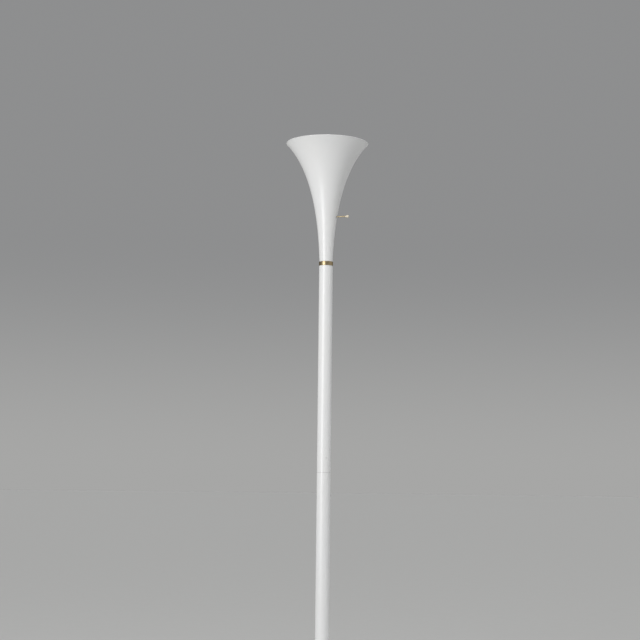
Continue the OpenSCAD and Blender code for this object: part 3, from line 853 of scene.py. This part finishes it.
def make_shell_beads():
    """Rolled beads round the lampholder's shell, above its notch."""
    inset_r = high("socket_shell").x - 0.1 * MM
    outlines = [arc((inset_r, z * MM), 0.55 * MM, -90, 90, 8) for z in (10, 13, 36)]
    beads = merged([Turned(outline, 128, closed=True).mesh() for outline in outlines])
    piece("lampholder_shell_beads", beads, "stand", "lampholder_brass", bright_brass,
          place=up(switch_z))


def make_screw_shell():
    """The lampholder's thread: one sheet with the thread rolled into it, open below and above."""
    lo, hi = switch_z + 12 * MM, high("screw_shell").z
    sheet, inset, fade = 0.5 * MM, 2.2 * MM, 1.8 * MM
    root, crest = 12.5 * MM, 13.4 * MM

    def wall(extra):
        return thread_rows(lo + inset, hi - 0.8 * MM, root + extra, crest + extra, THREAD_PITCH, 12, fade)

    def at(base, points):
        return [(r * MM, base + z * MM) for r, z in points]

    foot = at(lo, [(8, 0), (12.3, 0), (12.9, 0.6), (13.0, 1.6)])
    lip = at(hi, [(13.1, -0.3), (13.2, 0), (12.8, 0), (12.6, -0.3)])
    floor = at(lo, [(12.5, 1.6), (12.2, 0.7), (8, 0.6)])
    rows = foot + wall(sheet) + lip + wall(0)[::-1] + floor
    piece("threaded_screw_shell", Turned(rows, 96, closed=True).mesh(), "stand", "lamp_aluminium",
          aluminium, "screw_shell")


def make_terminal_screws():
    outline = rounded([(0, 8), (1.5, 8), (1.5, 12.9), (3, 12.9), (3, 14.7), (0, 14.7)],
                      [0, 0.3, 0.1, 0.2, 0.5, 0], closed=False)
    screws = []
    for side in (-1, 1):
        bm = slotted(in_mm(outline), 40, 0.7 * MM, 13.9 * MM)
        bm.transform(up(switch_z - 3 * MM) @ Matrix.Rotation(-side * math.pi / 2, 4, "X"))
        screws.append(bm)
    piece("terminal_screw_pair", merged(screws), "stand", "contact_brass", strip_brass, "terminal_screws")


def make_cap_screw():
    outline = rounded([(0, 0), (1.45, 0), (1.45, 3.4), (0, 3.4)], [0, 0.3, 0.2, 0], closed=False)
    bm = slotted(in_mm(outline), 32, 0.6 * MM, 2.7 * MM)
    place = Matrix.Translation((high("socket_cap_screw").x, 0, middle_z("socket_cap_screw")))
    place = place @ Matrix.Rotation(-math.pi / 2, 4, "Y")
    piece("cap_neck_screw", bm, "stand", "lampholder_brass", bright_brass, "socket_cap_screw", place=place)


def make_rod():
    lo, hi = low("switch_rod").x, high("switch_rod").x
    r = high("switch_rod").y
    rows = rounded([(0, lo), (r, lo), (r, hi), (0, hi)], [0, 0.3 * MM, 0.1 * MM, 0], closed=False)
    piece("switch_rod_bar", Turned(rows, 48).mesh(), "switch", "brass", rod_brass, "switch_rod",
          place=along_x(switch_z))


def make_knob():
    """A collar on the rod, and an egg that is widest towards its free end."""
    start, tip = low("switch_knob").x, high("switch_knob").x
    widest, neck, swell, steps_round = 4.6 * MM, 2 * MM, 0.12, 32
    length = tip - start - neck
    rows = in_mm([(0, 0), (1.9, 0), (2.45, 0.15), (2.6, 0.4), (2.6, 1.2), (2.45, 1.45), (2.2, 1.7), (2.2, 2)])
    for k in range(2, steps_round):
        a = math.pi * (1 - k / steps_round)
        r = widest * math.sin(a) * (1 + swell * math.cos(a))
        if r > 2.25 * MM or k > steps_round / 2:
            rows.append((r, neck + length * (1 + math.cos(a)) / 2))
    rows.append((0, neck + length))
    piece("turned_brass_knob", Turned(rows, 72).mesh(), "switch", "brass", knob_brass, "switch_knob",
          place=along_x(switch_z, start))


# ---------------------------------------------------------------- bulb

def turned_glass(name, outline, radii, slot, material, node, body="bulb", seg=128, n=5):
    """A solid turned part of the bulb. Its outline is in millimetres above the contact's tip."""
    rows = rounded(in_mm(outline), [r * MM for r in radii], n, closed=False)
    piece(name, Turned(rows, seg).mesh(), body, slot, material, node, place=up(bulb_z))


def make_bulb_ends():
    """The contact at the bulb's foot, the black glass round it, and the stem inside."""
    turned_glass("bulb_contact_button", [(0, 0), (1.9, 0), (2.6, 0.9), (2.6, 1.6), (0, 1.6)],
                 [0, 0.7, 0.5, 0.1, 0], "solder", tin, "bulb_tip", body="bulb_contact", seg=48)
    turned_glass("bulb_glass_insulator",
                 [(0, 1.6), (3.2, 1.6), (3.9, 2.9), (6.3, 2.9), (7, 2.4), (12, 6.5), (12, 8), (0, 8)],
                 [0, 0.2, 0.3, 0.2, 0.4, 0.4, 0.1, 0], "bulb_insulator_glass", black_glass,
                 "bulb_insulator")
    turned_glass("bulb_glass_stem",
                 [(0, 30), (7, 24), (11.4, 22.4), (11.4, 23.4), (8, 26), (3.4, 34), (2.8, 44), (2.8, 60),
                  (0, 60)],
                 [0, 4, 0.3, 0.3, 4, 6, 4, 1.2, 0], "clear_glass", pressed_glass, "bulb_stem", seg=72, n=8)


def make_bulb_cap():
    """The screw cap: one sheet, with the thread rolled into it and a skirt that holds the glass."""
    lo, hi, root, crest, sheet, fade = (k * MM for k in (8.4, 20.6, 12.2, 13.1, 0.3, 1.6))

    def wall(inset):
        return thread_rows(lo, hi, root - inset, crest - inset, THREAD_PITCH, 12, fade, height=bulb_z)

    foot = in_mm([(12.05, 6.6), (12.15, 6.85), (12.2, 7.4), (12.2, 8.2)])
    skirt = in_mm([(12.5, 21.4), (12.9, 22.0), (13.1, 22.7), (13.1, 25), (13.2, 26), (13.4, 26.8),
                   (13.38, 27), (13.2, 27), (13.0, 26.4), (12.8, 25), (12.8, 22.9), (12.6, 22.1),
                   (12.2, 21.6)])
    rows = foot + wall(0) + skirt + wall(sheet)[::-1] + in_mm([(11.95, 8.1), (12.0, 7.0)])
    piece("bulb_threaded_cap", Turned(rows, 96, closed=True).mesh(), "bulb", "lamp_aluminium", aluminium,
          "bulb_cap", place=up(bulb_z))


def make_bulb_glass():
    r = high("bulb_glass").x
    top = high("bulb_glass").z - bulb_z
    middle, wall = top - r, 0.8 * MM
    neck = [(12.4 * MM, 22 * MM), (13.5 * MM, 0.56 * middle), (r, 0.66 * middle), (r, middle)]
    outer = curve(neck, 40) + arc((0, middle), r, 3, 90, 30)
    inner = curve(neck, 40, wall) + arc((0, middle), r - wall, 3, 90, 30)
    rows = outer[:-1] + [(0, top), (0, top - wall)] + inner[-2::-1]
    piece("bulb_frosted_envelope", Turned(rows, 128, closed=True).mesh(), "bulb", "frosted_glass", frost,
          "bulb_glass", place=up(bulb_z))


def make_filaments():
    """Three support wires that lean out of the stem, and two coiled filaments between their hooks."""
    stem_r, bend, filament_z, lean = 1.8 * MM, 64 * MM, 86.5 * MM, math.radians(16)
    slant = Vector((math.sin(lean), 0, math.cos(lean))) * MM
    path = in_mm([(1.8, 0, z) for z in (60, 62, 63.4)])
    path += [Vector((stem_r, 0, bend)) + d * slant for d in (0.5, 3, 10, 18, 23.6)]
    path += [path[-1] + hook for hook in in_mm([(0.25, 0, 0.5), (0.05, 0, 0.9), (-0.5, 0, 0.8)])]
    supports, filaments = bmesh.new(), bmesh.new()
    for k in range(3):
        turn = up(bulb_z) @ Matrix.Rotation(TAU * k / 3, 4, "Z")
        sweep(supports, [turn @ p for p in path], 0.4 * MM, 10)
    reach = stem_r + (filament_z - bend) * math.tan(lean)
    span, coil, turns, per_turn = 0.93 * reach * math.sqrt(3), 0.42 * MM, 34, 10
    for a in (60, 180):
        turn = up(bulb_z) @ Matrix.Rotation(math.radians(a), 4, "Z")
        path = []
        for i in range(turns * per_turn + 1):
            t, b = i / (turns * per_turn), TAU * i / per_turn
            sag = 0.8 * MM * math.sin(math.pi * t)
            path.append(turn @ Vector((reach / 2 + coil * math.cos(b), span * (t - 0.5),
                                       filament_z - sag + coil * math.sin(b))))
        sweep(filaments, path, 0.07 * MM, 5)
    piece("bulb_support_wires", supports, "bulb", "bulb_wire", nickel, "bulb_supports")
    piece("bulb_coiled_filaments", filaments, "bulb", "tungsten", tungsten, "bulb_filaments")


def make_lead_ends():
    """Bare ends of the leads: seven twisted strands each."""
    bm = bmesh.new()
    lo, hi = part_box("lead_ends")
    x = (lo.x + hi.x) / 2
    lay, twist, strand_r, bundle_r = 0.38 * MM, 0.9, 0.19 * MM, 0.6 * MM
    for side in (-1, 1):
        y = side * (hi.y - bundle_r)
        for k in range(7):
            away = lay if k else 0.0
            path = []
            for i in range(25):
                t = i / 24
                a = TAU * (k / 6 + twist * t)
                path.append((x + away * math.cos(a), y + away * math.sin(a), lo.z + (hi.z - lo.z) * t))
            sweep(bm, path, strand_r, 8)
    piece("stranded_lead_ends", bm, "stand", "copper", bare_copper, "lead_ends")


make_felt()
make_cover()
make_bushing()
make_pipe("base_threaded_pipe", "base_nipple")
make_pipe("neck_threaded_pipe", "neck_nipple")
make_nut("base_hex_nut", "base_nut")
make_nut("shade_hex_nut", "shade_nut")
ring_piece("base_flat_washer", "zinc_steel", zinc, "base_washer", clear_r)
ring_piece("shade_flat_washer", "zinc_steel", zinc, "shade_washer", clear_r)
ring_piece("foot_plug_ring", "bare_steel", turned_steel, "pole_foot_plug", tapped_r, 0.8 * MM)
ring_piece("top_plug_ring", "bare_steel", turned_steel, "pole_top_plug", tapped_r, 0.8 * MM)
ring_piece("shade_reinforcing_plate", "bare_steel", turned_steel, "shade_foot_plate", clear_r, 0.5 * MM)
make_lower_tube()
make_upper_tube()
make_grub_screw()
make_neck_ring()
make_shade()
make_socket_cap()
make_shell_beads()
make_screw_shell()
make_terminal_screws()
make_cap_screw()
make_rod()
make_knob()
make_bulb_ends()
make_bulb_cap()
make_bulb_glass()
make_filaments()
make_lead_ends()

# CAD nodes that are shown as they are, and what they are made of
KEPT = {
    "base_weight": iron, "base_lock_washer": spring, "tube_coupler": turned_steel,
    "socket_shell": bright_brass, "socket_liner": board, "socket_block": phenolic,
    "centre_contact": strip_brass, "ring_contact": strip_brass, "switch_leaf": strip_brass,
    "switch_cam": phenolic, "bulb_ring": strip_brass, "lead_live": dark_vinyl,
    "lead_neutral": light_vinyl,
}
for node, material in KEPT.items():
    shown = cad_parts[node]
    if not shown.material_slots:
        shown.data.materials.append(material)
    for material_slot in shown.material_slots:
        material_slot.material = material


# ---------------------------------------------------------------- floor, light and camera

def make_floor():
    bm = bmesh.new()
    bmesh.ops.create_circle(bm, cap_ends=True, segments=96, radius=40)
    mesh = bpy.data.meshes.new("studio_floor")
    bm.to_mesh(mesh)
    bm.free()
    floor = bpy.data.objects.new("studio_floor", mesh)
    bpy.context.scene.collection.objects.link(floor)
    m = Shader("studio_floor_paint", Base_Color=(0.52, 0.52, 0.51), Roughness=0.75)
    m.bump(m.noise(300.0, 3.0, 0.6), 30e-6)
    tone = m.remap(m.noise(40.0, 3.0, 0.6), 0.3, 0.7)
    mesh.materials.append(m.done(m.mix(tone, (0.525, 0.525, 0.515), (0.535, 0.535, 0.525)),
                                 m.remap(m.noise(12.0), 0.3, 0.7, 0.72, 0.78)))


def soft_sun(name, azimuth, elevation, strength, spread, colour):
    """A soft light from far away. Azimuth 0 is on -Y and 90 on +X, in degrees, as for the camera."""
    light = bpy.data.lights.new(name, "SUN")
    light.energy, light.angle, light.color = strength, math.radians(spread), colour
    holder = bpy.data.objects.new(name, light)
    bpy.context.scene.collection.objects.link(holder)
    a, e = math.radians(azimuth), math.radians(elevation)
    towards = Vector((math.sin(a) * math.cos(e), -math.cos(a) * math.cos(e), math.sin(e)))
    holder.location = 4 * towards
    holder.rotation_mode = "QUATERNION"
    holder.rotation_quaternion = (-towards).to_track_quat("-Z", "Y")


def soft_window(name, azimuth, distance, height, size, power, colour):
    """A tall soft light that faces the lamp. The camera doesn't see it.

    Its narrow spread keeps most of its light off the floor below it."""
    light = bpy.data.lights.new(name, "AREA")
    light.shape, light.size, light.size_y = "RECTANGLE", *size
    light.energy, light.color = power, colour
    light.spread = math.radians(110)
    holder = bpy.data.objects.new(name, light)
    bpy.context.scene.collection.objects.link(holder)
    a = math.radians(azimuth)
    holder.location = (distance * math.sin(a), -distance * math.cos(a), height)
    holder.rotation_euler = (math.pi / 2, 0, a)
    holder.visible_camera = False


def make_camera():
    azimuth, distance, height = math.radians(15), 4.595, 0.702
    yaw, pitch, roll = math.radians(0.216), math.radians(5.97), math.radians(0.66)
    data = bpy.data.cameras.new("camera")
    data.lens, data.sensor_width = 80.66, 36.0
    data.clip_start, data.clip_end = 0.05, 200
    camera = bpy.data.objects.new("camera", data)
    bpy.context.scene.collection.objects.link(camera)
    heading = azimuth + yaw
    ahead = Vector((-math.sin(heading) * math.cos(pitch), math.cos(heading) * math.cos(pitch),
                    math.sin(pitch)))
    right = ahead.cross(Vector((0, 0, 1))).normalized()
    above = right.cross(ahead)
    side = math.cos(roll) * right + math.sin(roll) * above
    top = math.cos(roll) * above - math.sin(roll) * right
    turn = Matrix((side, top, -ahead)).transposed()
    place = Vector((distance * math.sin(azimuth), -distance * math.cos(azimuth), height))
    camera.matrix_world = Matrix.Translation(place) @ turn.to_4x4()
    bpy.context.scene.camera = camera


def make_world():
    """A plain backdrop: as pale as the floor at the horizon and a little darker above."""
    world = bpy.data.worlds.new("studio")
    world.use_nodes = True
    nodes, links = world.node_tree.nodes, world.node_tree.links
    where = nodes.new("ShaderNodeTexCoord")
    split = nodes.new("ShaderNodeSeparateXYZ")
    ramp = nodes.new("ShaderNodeValToRGB")
    links.new(where.outputs["Generated"], split.inputs[0])
    links.new(split.outputs[2], ramp.inputs[0])
    links.new(ramp.outputs[0], nodes["Background"].inputs["Color"])
    ramp.color_ramp.interpolation = "EASE"
    ramp.color_ramp.elements[0].position, ramp.color_ramp.elements[1].position = 0.0, 0.16
    ramp.color_ramp.elements[0].color = (0.385, 0.385, 0.38, 1)
    ramp.color_ramp.elements[1].color = (0.27, 0.272, 0.275, 1)
    bpy.context.scene.world = world


make_floor()
make_world()
soft_window("key", -21, 4.0, 1.8, (1.6, 3.0), 36, (1.0, 1.0, 1.0))
soft_sun("fill", 98, 18, 0.5, 80, (0.98, 0.99, 1.0))
soft_sun("ceiling", 20, 78, 1.3, 60, (1.0, 1.0, 1.0))
bpy.context.scene.view_settings.view_transform = "Standard"
make_camera()
